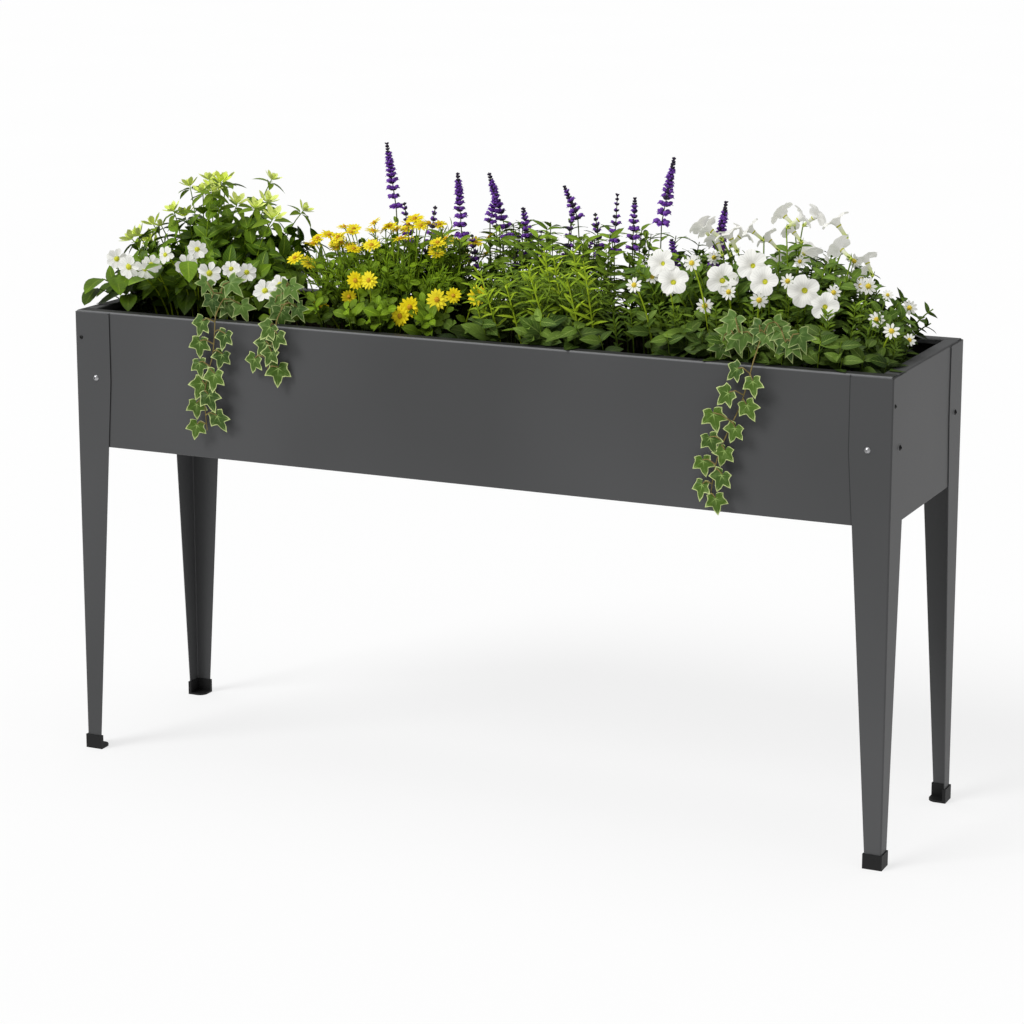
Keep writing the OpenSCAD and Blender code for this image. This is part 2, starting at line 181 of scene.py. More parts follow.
def bareMetal(name, tone, roughness, endShade=0.0):
    paint, tree = newPaint(name)
    x = parts(tree, "Object")[0]
    mottle = noiseOf(tree, 160.0, 3.0)
    bright = blend(mottle.between(0.35, 0.65), rgb(*(0.82 * c for c in tone)), rgb(*tone))
    endHeadShade = abs(x).between(endX + 0.0002, endX + 0.0004) * endShade  # painted shade: the heads on the two end faces are painted near-black
    return coat(paint, Base_Color=blend(endHeadShade, bright, rgb(0.004, 0.004, 0.004)), Metallic=1.0 - endHeadShade,
                Roughness=roughness + 0.15 * mottle, Specular_IOR_Level=0.15)


def blackPaint(name, tone, roughness):
    paint, tree = newPaint(name)
    grain = noiseOf(tree, 1400.0, 2.0)
    colour = blend(grain.between(0.3, 0.7), rgb(tone, tone, tone), rgb(1.6 * tone, 1.6 * tone, 1.65 * tone))
    return coat(paint, Base_Color=colour, Roughness=roughness + 0.1 * grain, Normal=bump(grain, 0.2, 0.0003),
                Specular_IOR_Level=0.2)


def soilPaint():
    paint, tree = newPaint("potting_soil")
    crumbs = noiseOf(tree, 180.0, 5.0, rough=0.7)
    fibre = noiseOf(tree, 60.0, 4.0)
    dark = blend(crumbs.between(0.35, 0.65), rgb(0.008, 0.006, 0.004), rgb(0.035, 0.023, 0.014))
    colour = blend(fibre.between(0.62, 0.75), dark, rgb(0.06, 0.04, 0.022))
    return coat(paint, Base_Color=colour, Roughness=0.95, Normal=bump(crumbs, 0.9, 0.003),
                Specular_IOR_Level=0.1)


def crownShadeOf(tree, top=0.085):  # painted shade: 1 deep in the crown, 0 at its top or right at the front
    y, z = parts(tree, "Object")[1:]
    lift = z.between(rimZ, rimZ + top)
    front = y.between(frontY + 0.075, frontY + 0.035) * z.between(rimZ - 0.005, rimZ + 0.03)
    return 1.0 - node(tree, "ShaderNodeMath", {"operation": "MAXIMUM"}, {0: lift, 1: front})


def leafPaint(name, dark, light, vein, roughness=0.5, ribs=7.0, ribShade=0.25, gloomShade=0.85):
    paint, tree = newPaint(name)
    u, v = parts(tree, "UV")[:2]
    side = abs(u - 0.5) * 2.0
    midrib = (1.0 - side * 9.0).clamped()
    lines = (1.0 - abs((v * ribs - side * 2.2).fract() - 0.5) * 9.0).clamped()
    base = blend(tintOf(tree), rgb(*dark), rgb(*light))
    mottled = blend(noiseOf(tree, 120.0, 3.0).between(0.3, 0.75) * 0.35, base, rgb(*dark))
    veined = blend(midrib * 0.75 + lines * ribShade, mottled, rgb(*vein))
    # painted shade: leaves deep in the crown are darkened towards near-black
    colour = blend(crownShadeOf(tree) * gloomShade, veined, rgb(*(0.22 * c for c in dark)))
    return coat(paint, Base_Color=colour, Roughness=roughness, Normal=bump(lines + midrib, 0.25, 0.0006),
                Specular_IOR_Level=0.12)


def ivyPaint():
    paint, tree = newPaint("variegated_ivy")
    turn, out = parts(tree, "UV")[:2]
    z = parts(tree, "Object")[2]
    low = z.between(rimZ + 0.02, rimZ - 0.01)  # the hanging leaves are greener, with paler edges
    lobes = (1.0 - abs((turn * 6.0 + 0.5).fract() - 0.5) * 16.0 * out.between(0.0, 0.6)).clamped()
    blotch = noiseOf(tree, 110.0, 3.0)
    margin = (out + 0.12 * (blotch - 0.5)).between(0.87, 0.93)
    grey = blend(tintOf(tree), rgb(0.025, 0.065, 0.007), rgb(0.1, 0.19, 0.028))
    fresh = blend(tintOf(tree), rgb(0.022, 0.058, 0.003), rgb(0.07, 0.14, 0.008))
    green = blend(low, grey, fresh)
    inner = blend(blotch.between(0.5, 0.62) * 0.18, green, rgb(0.22, 0.32, 0.09))
    veined = blend(lobes * (0.55 + 0.35 * low), inner, rgb(0.4, 0.54, 0.16))
    colour = blend(margin * (0.5 + 0.35 * low), veined, rgb(0.52, 0.6, 0.24))
    return coat(paint, Base_Color=colour, Roughness=0.5, Normal=bump(lobes, 0.3, 0.0006),
                Specular_IOR_Level=0.25)


def stemPaint(name, low, high, gloomShade=0.0):
    paint, tree = newPaint(name)
    streak = noiseOf(tree, 90.0, 3.0)
    lit = blend(streak.between(0.3, 0.7), rgb(*low), rgb(*high))
    # painted shade: stems deep in the crown are darkened
    colour = blend(crownShadeOf(tree) * gloomShade, lit, rgb(*(0.15 * c for c in low)))
    return coat(paint, Base_Color=colour, Roughness=0.55, Specular_IOR_Level=0.15)


def petalPaint(name, heart, body, tip, reach=0.3, streaks=9.0, glow=0.1, roughness=0.6):
    paint, tree = newPaint(name)
    u, v = parts(tree, "UV")[:2]
    line = abs((u * streaks).fract() - 0.5) * 2.0
    tone = blend(tintOf(tree) * 0.5, rgb(*body), rgb(*tip))
    # darker streaks: veins, and partly painted shade in the pleats
    veined = blend(line.between(0.55, 1.0) * 0.45, tone, rgb(*(0.7 * c for c in body)))
    edged = blend(v.between(0.75, 1.0) * 0.5, veined, rgb(*tip))
    colour = blend(v.between(0.0, reach), rgb(*heart), edged)
    # painted light: the petals glow with their own colour (emission), standing in for light through thin
    # petals
    return coat(paint, Base_Color=colour, Roughness=roughness, Normal=bump(line, 0.15, 0.0005),
                Specular_IOR_Level=0.08, Emission_Color=colour, Emission_Strength=glow)


def centrePaint(name, low, high):
    paint, tree = newPaint(name)
    beads = noiseOf(tree, 900.0, 2.0)
    return coat(paint, Base_Color=blend(beads.between(0.35, 0.6), rgb(*low), rgb(*high)), Roughness=0.8,
                Normal=bump(beads, 0.8, 0.0008))


paints = {
    "steel": steelPaint(),
    "zinc": bareMetal("zinc_plated_steel", (0.55, 0.56, 0.57), 0.35),
    "bolt": bareMetal("stainless_bolt", (0.45, 0.45, 0.46), 0.3, 1.0),
    "blackScrew": blackPaint("black_screw", 0.006, 0.35),
    "foot": blackPaint("foot_plastic", 0.008, 0.5),
    "soil": soilPaint(),
    "whiteLeaf": leafPaint("white_bush_leaf", (0.035, 0.085, 0.004), (0.17, 0.3, 0.012), (0.32, 0.46, 0.04),
                           0.42),
    "collarLeaf": leafPaint("collar_leaf", (0.07, 0.12, 0.006), (0.17, 0.27, 0.015), (0.26, 0.36, 0.03)),
    "yellowLeaf": leafPaint("yellow_bush_leaf", (0.045, 0.1, 0.003), (0.26, 0.42, 0.01), (0.36, 0.52, 0.03)),
    "salviaLeaf": leafPaint("salvia_leaf", (0.04, 0.09, 0.006), (0.22, 0.35, 0.02), (0.3, 0.42, 0.06), 0.6),
    "dustyLeaf": leafPaint("dusty_low_leaf", (0.03, 0.07, 0.006), (0.18, 0.29, 0.035), (0.33, 0.45, 0.1), 0.5,
                           6.0, 0.4),
    "fineLeaf": leafPaint("fine_leaf", (0.05, 0.1, 0.008), (0.22, 0.34, 0.025), (0.38, 0.5, 0.04), 0.5, 3.0,
                          0.05, 0.7),
    "limeLeaf": leafPaint("lime_leaf", (0.14, 0.25, 0.008), (0.4, 0.54, 0.02), (0.5, 0.62, 0.05), 0.5, 3.0,
                          0.05, 0.5),
    "petuniaLeaf": leafPaint("petunia_leaf", (0.035, 0.08, 0.008), (0.16, 0.27, 0.03), (0.28, 0.4, 0.08)),
    "ivy": ivyPaint(),
    "greenStem": stemPaint("green_stem", (0.12, 0.22, 0.008), (0.26, 0.38, 0.015), 0.93),
    "stalk": stemPaint("bright_stalk", (0.22, 0.34, 0.01), (0.4, 0.52, 0.02), 0.5),
    "darkStem": stemPaint("dark_stem", (0.05, 0.07, 0.015), (0.12, 0.15, 0.03), 0.8),
    "vine": stemPaint("ivy_vine", (0.14, 0.11, 0.03), (0.26, 0.2, 0.07)),
    "whitePetal": petalPaint("white_petal", (0.55, 0.62, 0.2), (0.56, 0.56, 0.52), (0.66, 0.66, 0.63), 0.3,
                             3.0, 0.4),
    "petuniaPetal": petalPaint("petunia_petal", (0.36, 0.42, 0.05), (0.52, 0.515, 0.48), (0.6, 0.6, 0.57),
                               0.45, 25.0, 0.5),
    "limePetal": petalPaint("lime_petal", (0.5, 0.64, 0.015), (0.6, 0.72, 0.04), (0.82, 0.86, 0.45), 0.3,
                            3.0),
    "yellowPetal": petalPaint("yellow_petal", (0.72, 0.4, 0.002), (0.76, 0.62, 0.008), (0.84, 0.76, 0.05),
                              0.22, 3.0, 0.06),
    "purplePetal": petalPaint("purple_petal", (0.05, 0.02, 0.11), (0.14, 0.042, 0.32), (0.3, 0.12, 0.58), 0.4,
                              3.0, 0.04),
    "budDark": petalPaint("purple_bud", (0.014, 0.012, 0.018), (0.032, 0.022, 0.048), (0.06, 0.042, 0.085),
                          0.4, 3.0, 0.03),
    "limeCentre": centrePaint("lime_centre", (0.4, 0.44, 0.01), (0.74, 0.72, 0.04)),
    "sunCentre": centrePaint("sun_centre", (0.6, 0.36, 0.01), (0.8, 0.66, 0.06)),
    "goldCentre": centrePaint("gold_centre", (0.36, 0.14, 0.002), (0.74, 0.42, 0.01)),
}

steelNodes = ("front_panel", "back_panel", "left_end_panel", "right_end_panel", "floor_pan",
              "leg_front_left", "leg_front_right", "leg_back_right", "leg_back_left")
zincNodes = ("brace_left", "brace_middle", "brace_right", "leg_nuts", "corner_nuts", "brace_screws",
             "brace_nuts")
footNodes = ("foot_front_left", "foot_front_right", "foot_back_right", "foot_back_left")
nodePaints = {**dict.fromkeys(steelNodes, "steel"), **dict.fromkeys(zincNodes, "zinc"),
              **dict.fromkeys(footNodes, "foot"), "leg_bolts": "bolt", "corner_screws": "blackScrew"}
for name, paint in nodePaints.items():
    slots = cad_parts[name].data.materials
    slots.clear()
    slots.append(paints[paint])
print("metalwork painted")


def shapeMesh(name, bm, paint=0):  # the small shapes point along +Y and face +Z
    for face in bm.faces:
        face.smooth = True
        face.material_index = paint
    mesh = bpy.data.meshes.new(name)
    bm.to_mesh(mesh)
    bm.free()
    mesh.attributes.new("tint", "FLOAT", "POINT")
    return mesh


def blade(name, length, width, widest=0.4, blunt=0.8, rows=5, columns=2, fold=0.3, droop=0.2, wave=0.0,
          notch=0.0, paint=0):
    bm = bmesh.new()
    bm.loops.layers.uv.new("UVMap")
    bmesh.ops.create_grid(bm, x_segments=columns, y_segments=rows, size=0.5, calc_uvs=True)
    power = math.log(0.5) / math.log(widest)
    for v in bm.verts:
        side, along = 2 * v.co.x, v.co.y + 0.5
        half = width / 2 * max(0.0, math.sin(math.pi * along ** power)) ** blunt
        ripple = wave * width * math.sin(along * 14) * side
        dent = notch * length * (1 - abs(side)) * along ** 6
        v.co = (side * half, along * length - dent,
                fold * abs(side) * half - droop * length * along ** 2 + ripple * along)
    bmesh.ops.remove_doubles(bm, verts=bm.verts, dist=width * 0.02)
    return shapeMesh(name, bm, paint)


def dome(name, radius, height, paint, rings=4, sides=10):
    bm = bmesh.new()
    bm.loops.layers.uv.new("UVMap")
    bmesh.ops.create_uvsphere(bm, u_segments=sides, v_segments=rings, radius=radius, calc_uvs=True)
    bmesh.ops.transform(bm, matrix=Matrix.Diagonal((1, 1, height / radius, 1)), verts=bm.verts)
    return shapeMesh(name, bm, paint)


def addCopy(bm, mesh, place, tint=None):
    copy = mesh.copy()
    copy.transform(place)
    if tint is not None:
        copy.attributes["tint"].data.foreach_set("value", [tint] * len(copy.vertices))
    bm.from_mesh(copy)
    bpy.data.meshes.remove(copy)


def cluster(name, parts):
    bm = bmesh.new()
    for mesh, place in parts:
        addCopy(bm, mesh, place)
    mesh = bpy.data.meshes.new(name)
    bm.to_mesh(mesh)
    bm.free()
    return mesh


def ringOf(petal, count, lift, radius, start=0.0, height=0.0, dice=None, wobble=0.0):
    placed = []
    for i in range(count):
        sway, grow = (dice.gauss(0, wobble), 1 + dice.uniform(-0.5, 0.4) * wobble) if dice else (0.0, 1.0)
        turn = Matrix.Rotation(start + 2 * math.pi * i / count + 0.4 * sway, 4, "Z")
        tilt = (Matrix.Translation((0, radius, height)) @ Matrix.Rotation(lift + sway, 4, "X")
                @ Matrix.Scale(grow, 4))
        placed.append((petal, turn @ tilt))
    return placed


def lobedLeaf(name, size, reach):  # reach runs from tip to stalk, every 15 degrees
    bm = bmesh.new()
    uvs = bm.loops.layers.uv.new("UVMap")
    bmesh.ops.create_circle(bm, cap_ends=True, cap_tris=True, radius=1.0, segments=24)
    for v in bm.verts:
        if v.co.length > 0.5:
            turn = math.degrees(abs(math.atan2(v.co.x, v.co.y)))
            v.co = v.co.normalized() * reach[round(turn / 15)]
    for face in bm.faces:
        turns = [math.atan2(loop.vert.co.x, loop.vert.co.y) / (2 * math.pi) for loop in face.loops
                 if loop.vert.co.length > 0.01]
        if max(turns) - min(turns) > 0.5:
            turns = [t + 1 if t < 0 else t for t in turns]
        for loop in face.loops:
            turn = math.atan2(loop.vert.co.x, loop.vert.co.y) / (2 * math.pi)
            centre = loop.vert.co.length < 0.01
            if not centre and max(turns) > 0.5 and turn < 0:
                turn += 1
            loop[uvs].uv = (sum(turns) / len(turns), 0) if centre else (turn, 1)
    bmesh.ops.subdivide_edges(bm, edges=bm.edges, cuts=1, use_grid_fill=True)
    for v in bm.verts:
        x, y = v.co.x, v.co.y
        ruffle = 0.05 * math.cos(8 * math.atan2(x, y)) * v.co.length
        v.co = Vector((x, y + 0.1, 0.2 * abs(x) - 0.2 * (x * x + y * y) + ruffle)) * size
    return shapeMesh(name, bm)


def trumpet(name, radius, depth, lobes, paint=0):
    bm = bmesh.new()
    bm.loops.layers.uv.new("UVMap")
    bmesh.ops.create_grid(bm, x_segments=30, y_segments=7, size=0.5, calc_uvs=True)
    for v in bm.verts:
        turn, out = 2 * math.pi * (v.co.x + 0.5), v.co.y + 0.5
        flare = out ** 3.6
        lobe = 1 - 0.24 * abs(math.cos(lobes / 2 * turn)) ** 8 * flare
        reach = radius * (0.12 + 0.88 * flare) * lobe
        pleats = 0.09 * math.cos(lobes * turn) + 0.04 * math.cos(3 * lobes * turn + 1)
        height = depth * (1 - (1 - out) ** 1.7) + radius * flare * pleats - 0.16 * radius * flare ** 3
        v.co = (reach * math.cos(turn), reach * math.sin(turn), height - depth)
    bmesh.ops.remove_doubles(bm, verts=bm.verts, dist=radius * 0.002)
    bmesh.ops.recalc_face_normals(bm, faces=bm.faces)
    return shapeMesh(name, bm, paint)


def aim(place, along, facing, size=1.0):
    y = along.normalized()
    x = y.cross(facing)
    x = x.normalized() if x.length > 1e-4 else y.orthogonal().normalized()
    turn = Matrix((x, y, x.cross(y))).transposed().to_4x4()
    return Matrix.Translation(place) @ turn @ Matrix.Scale(size, 4)


def faceTo(place, facing, spin=0.0, size=1.0):
    z = facing.normalized()
    x = z.orthogonal().normalized()
    turn = Matrix((x, z.cross(x), z)).transposed().to_4x4()
    return Matrix.Translation(place) @ turn @ Matrix.Rotation(spin, 4, "Z") @ Matrix.Scale(size, 4)


def spot(x, y, height):  # millimetres, the height above the rim
    return Vector((x * mm, y * mm, rimZ + height * mm))


def arch(base, tip, lean=0.25, rise=0.7, steps=8):
    knee = Vector((base.x + lean * (tip.x - base.x), base.y + lean * (tip.y - base.y),
                   base.z + rise * (tip.z - base.z)))
    shares = [i / steps for i in range(steps + 1)]
    return [base * (1 - s) ** 2 + knee * 2 * s * (1 - s) + tip * s * s for s in shares]


def along(path, share):
    place = share * (len(path) - 1)
    i = min(int(place), len(path) - 2)
    return path[i].lerp(path[i + 1], place - i), (path[i + 1] - path[i]).normalized()


def pathLength(path):
    return sum((b - a).length for a, b in zip(path, path[1:]))


def tubes(name, paths, thick, thin, paint, nodes, sides=1):
    curve = bpy.data.curves.new(name, "CURVE")
    curve.dimensions = "3D"
    curve.bevel_depth = 1.0
    curve.bevel_resolution = sides
    curve.use_fill_caps = True
    for path in paths:
        spline = curve.splines.new("POLY")
        spline.points.add(len(path) - 1)
        for i, (knot, place) in enumerate(zip(spline.points, path)):
            knot.co = (*place, 1)
            knot.radius = thick + (thin - thick) * i / (len(path) - 1)
    maker = bpy.data.objects.new(name + "_maker", curve)
    mesh = bpy.data.meshes.new_from_object(maker)
    bpy.data.objects.remove(maker)
    mesh.name = name
    mesh.materials.clear()
    mesh.materials.append(paints[paint])
    mesh.polygons.foreach_set("use_smooth", [True] * len(mesh.polygons))
    return show(name, mesh, nodes)


def show(name, mesh, nodes):
    made = bpy.data.objects.new(name, mesh)
    bpy.context.scene.collection.objects.link(made)
    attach(made, "root")
    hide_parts(*nodes)
    return made


def clearOfMetal(bm):  # leaves rest on the lips, and below them stay between the walls
    lip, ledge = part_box("potting_soil")[1] - Vector((0.024, 0.024, 0)), rimZ + 0.0015
    for v in bm.verts:
        if v.co.z < ledge and (abs(v.co.x) > lip.x or abs(v.co.y) > lip.y):
            if v.co.z > rimZ - 0.02:
                v.co.z = ledge
            else:
                v.co.x = max(-lip.x, min(lip.x, v.co.x))
                v.co.y = max(-lip.y, min(lip.y, v.co.y))


def finishPiece(name, bm, paintNames, nodes, slotName):
    if slotName == "foliage":
        clearOfMetal(bm)
    mesh = bpy.data.meshes.new(name)
    bm.to_mesh(mesh)
    bm.free()
    for paint in paintNames:
        mesh.materials.append(paints[paint])
    return show(name, mesh, nodes)


def leafPairs(bm, shape, path, dice, start, end, gap, size, lift=0.6, perNode=2, tints=(0.1, 0.9),
              shrink=0.45):
    reach = pathLength(path)
    count = max(1, int((end - start) * reach / gap))
    turn = dice.uniform(0, math.pi)
    for i in range(count):
        share = start + (end - start) * (i + dice.uniform(0.2, 0.8)) / count
        place, tangent = along(path, share)
        turn += math.pi / 2 if perNode == 2 else 2.4
        sideways = tangent.orthogonal().normalized()
        for k in range(perNode):
            spin = Matrix.Rotation(turn + 2 * math.pi * k / perNode + dice.uniform(-0.35, 0.35), 3, tangent)
            out = spin @ sideways
            leafUp = lift + dice.uniform(-0.3, 0.3)
            heading = out * math.cos(leafUp) + tangent * math.sin(leafUp)
            scale = size * (1 - shrink * share) * dice.uniform(0.75, 1.15)
            light = Vector((dice.gauss(0, 0.3), (place.y - 0.09) * 7 + dice.gauss(0, 0.3), 0.5))
            addCopy(bm, shape, aim(place, heading, tangent * 0.6 + light, scale), dice.uniform(*tints))


def profile(stops, x):
    if x <= stops[0][0]:
        return stops[0][1]
    for (x0, h0), (x1, h1) in zip(stops, stops[1:]):
        if x <= x1:
            return h0 + (h1 - h0) * (x - x0) / (x1 - x0)
    return stops[-1][1]


def crowd(dice, count, x, y, tops, heart, pull=0.55, low=0.45, front=0.5, lean=0.2):
    paths = []
    for i in range(count):
        px, py = dice.uniform(*x), dice.uniform(*y)
        depth = front + (1 - front) * min(1.0, (py + 160) / 150)
        height = profile(tops, px) * depth * (low + (1 - low) * dice.random())
        root = Vector(((px + pull * (heart[0] - px)) * mm, (py + pull * (heart[1] - py)) * mm, soilZ - 0.01))
        paths.append(arch(root, spot(px, py, height), lean))
    return paths


def stalkTo(dice, tip, heart, pull=0.5, lean=0.15):
    root = Vector((tip.x + pull * (heart[0] * mm - tip.x) + dice.uniform(-0.015, 0.015),
                   tip.y + pull * (heart[1] * mm - tip.y) + dice.uniform(-0.01, 0.01), soilZ - 0.01))
    return arch(root, tip, lean)


def newGroup():
    bm = bmesh.new()
    bm.verts.layers.float.new("tint")
    bm.loops.layers.uv.new("UVMap")
    return bm


def outward(dice, spread):  # the way most flowers look, a little to their own side
    return Vector((dice.gauss(0.12, spread), -1.0, dice.gauss(0.3, spread)))


def lumpySoil():
    low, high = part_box("potting_soil")
    bm = bmesh.new()
    bmesh.ops.create_grid(bm, x_segments=260, y_segments=64, size=0.5)
    middle = Matrix.Translation(((low.x + high.x) / 2, (low.y + high.y) / 2, high.z))
    spread = Matrix.Diagonal((high.x - low.x, high.y - low.y, 1, 1))
    bmesh.ops.transform(bm, verts=bm.verts, matrix=middle @ spread)
    dice = random.Random(5)
    edge = [e for e in bm.edges if e.is_boundary]
    rim = {v for e in edge for v in e.verts}
    for v in bm.verts:
        v.co.z -= 0.004 if v in rim else dice.uniform(-0.005, 0.004)
    walls = bmesh.ops.extrude_edge_only(bm, edges=edge)["geom"]
    for v in walls:
        if isinstance(v, bmesh.types.BMVert):
            v.co.z = low.z
    bmesh.ops.contextual_create(bm, geom=[e for e in bm.edges if e.is_boundary])
    bmesh.ops.recalc_face_normals(bm, faces=bm.faces)
    for face in bm.faces:
        face.smooth = face.calc_center_median().z > high.z - 0.02
    finishPiece("soil_surface", bm, ["soil"], ["potting_soil"], "potting_soil")


lumpySoil()
print("soil laid")


def scatter(dice, tops, count, across, depth, share, sizes):  # evenly along x, by chance otherwise
    spots = []
    for i in range(count):
        x = across[0] + (across[1] - across[0]) * (i + 0.5 + dice.uniform(-0.45, 0.45)) / count
        spots.append((x, dice.uniform(*depth), profile(tops, x) * dice.uniform(*share), dice.uniform(*sizes)))
    return spots


# a row of flowers: how many, along x, along y, share of the crown's height, sizes
whiteBush = {
    "heart": (-600, 10),
    "tops": ((-784, 55), (-730, 90), (-650, 130), (-590, 155), (-530, 150), (-470, 120), (-394, 75)),
    "open": (12, (-720, -360), (-150, -110), (0.5, 0.85), (32, 44)),
    "heads": (21, (-785, -435), (-50, 120), (1.15, 1.6), (1, 1.3)),
    "bigLeaves": (20, (-770, -430), (-150, -60), (0.1, 0.6), (0.85, 1.15)),
}


def growWhiteBush():
    dice = random.Random(11)
    leaf = blade("oval_leaf", 0.042, 0.024, 0.42, 0.75, 6, 2, fold=0.3, droop=0.25)
    bigLeaf = blade("broad_leaf", 0.06, 0.036, 0.42, 0.7, 6, 4, fold=0.22, droop=0.3)
    petal = blade("notched_petal", 0.47, 0.31, 0.7, 0.55, 6, 4, fold=0.2, droop=0.14, notch=0.1)
    centre = dome("lime_dome", 0.13, 0.08, 1)
    sepal = blade("sepal", 0.2, 0.09, 0.4, 0.8, 3, 2, fold=0.2, droop=0.1, paint=2)
    blooms = [cluster("white_bloom", ringOf(petal, 8, 0.15, 0.04, 0, 0, dice, 0.16)
                      + ringOf(sepal, 5, -0.2, 0.01, 0.3, -0.02)
                      + [(centre, Matrix.Translation((0, 0, 0.02)))]) for i in range(4)]
    flat = blade("lime_ray", 0.02, 0.009, 0.6, 0.7, 5, 2, fold=0.3, droop=-0.25)
    upright = blade("lime_tip", 0.012, 0.007, 0.6, 0.7, 4, 2, fold=0.5, droop=-0.3)
    collar = blade("collar_leaf", 0.03, 0.012, 0.4, 0.8, 5, 2, fold=0.35, droop=0.3, paint=1)
    head = cluster("lime_head", ringOf(flat, 6, 0.4, 0.001) + ringOf(upright, 5, 1.0, 0.001, 0.5, 0.001)
                   + ringOf(collar, 4, 0.05, 0.002, 0.4, -0.006))
    stems, stalks, leaves, flowers, heads = [], [], newGroup(), newGroup(), newGroup()
    for path in crowd(dice, 110, (-765, -400), (-120, 150), whiteBush["tops"], whiteBush["heart"]):
        stems.append(path)
        leafPairs(leaves, leaf, path, dice, 0.3, 1.0, 0.022, 1.2, shrink=0.3, tints=(0.1, 1))
    for flower in scatter(dice, whiteBush["tops"], *whiteBush["open"]):
        path = stalkTo(dice, spot(*flower[:3]), whiteBush["heart"])
        stalks.append(path)
        leafPairs(leaves, leaf, path, dice, 0.4, 0.8, 0.035, 0.9, tints=(0.5, 1))
        bloom = dice.choice(blooms)
        place = faceTo(path[-1], outward(dice, 0.3), dice.random() * 6, flower[3] * mm)
        addCopy(flowers, bloom, place, dice.random())
    for target in scatter(dice, whiteBush["tops"], *whiteBush["heads"]):
        path = stalkTo(dice, spot(*target[:3]), whiteBush["heart"], 0.45)
        stems.append(path)
        leafPairs(leaves, leaf, path, dice, 0.35, 0.8, 0.032, 1.15, shrink=0.3, tints=(0.2, 1))
        nod = path[-1] - path[-2] + Vector((dice.gauss(0, 0.002), dice.gauss(-0.003, 0.002), 0.004))
        addCopy(heads, head, faceTo(path[-1], nod, dice.random() * 6, dice.uniform(1.0, 1.3)),
                dice.uniform(0.2, 1))
    for target in scatter(dice, whiteBush["tops"], *whiteBush["bigLeaves"]):
        tip = spot(*target[:3])
        heading = Vector((dice.uniform(-0.7, 0.7), -0.8, dice.uniform(-0.35, 0.35)))
        foot = tip - heading.normalized() * 0.025
        stems.append(arch(Vector((max(foot.x, -0.7), foot.y * 0.4, soilZ - 0.01)), foot))
        addCopy(leaves, bigLeaf, aim(foot, heading, up * 1.2 - heading * 0.6, dice.uniform(0.85, 1.15)),
                dice.uniform(0.5, 1.0))
    tubes("white_bush_stems", stems, 0.0017, 0.0009, "greenStem", ["white_flower_bush"])
    tubes("white_bush_stalks", stalks, 0.0018, 0.0013, "stalk", ["white_flower_bush"])
    finishPiece("white_bush_leaves", leaves, ["whiteLeaf"], ["white_flower_bush"], "foliage")
    finishPiece("white_bush_flowers", flowers, ["whitePetal", "limeCentre", "greenStem"],
                ["white_flower_bush"],
                "white_petals")
    finishPiece("white_bush_heads", heads, ["limePetal", "collarLeaf"], ["white_flower_bush"], "foliage")


growWhiteBush()
print("white bush grown")


yellowBush = {
    "heart": (-215, 0),
    "tops": ((-389, 85), (-350, 110), (-300, 132), (-200, 145), (-150, 145), (-100, 130), (-44, 105)),
    "frontTops": ((-389, 25), (-340, 45), (-300, 55), (-250, 30), (-190, 60), (-100, 60), (-44, 30)),
    "front": (9, (-320, 20), (-150, -100), (0.15, 0.8), (28, 40)),
    "back": (31, (-390, -95), (-60, 10), (0.85, 1.2), (27, 36)),
}


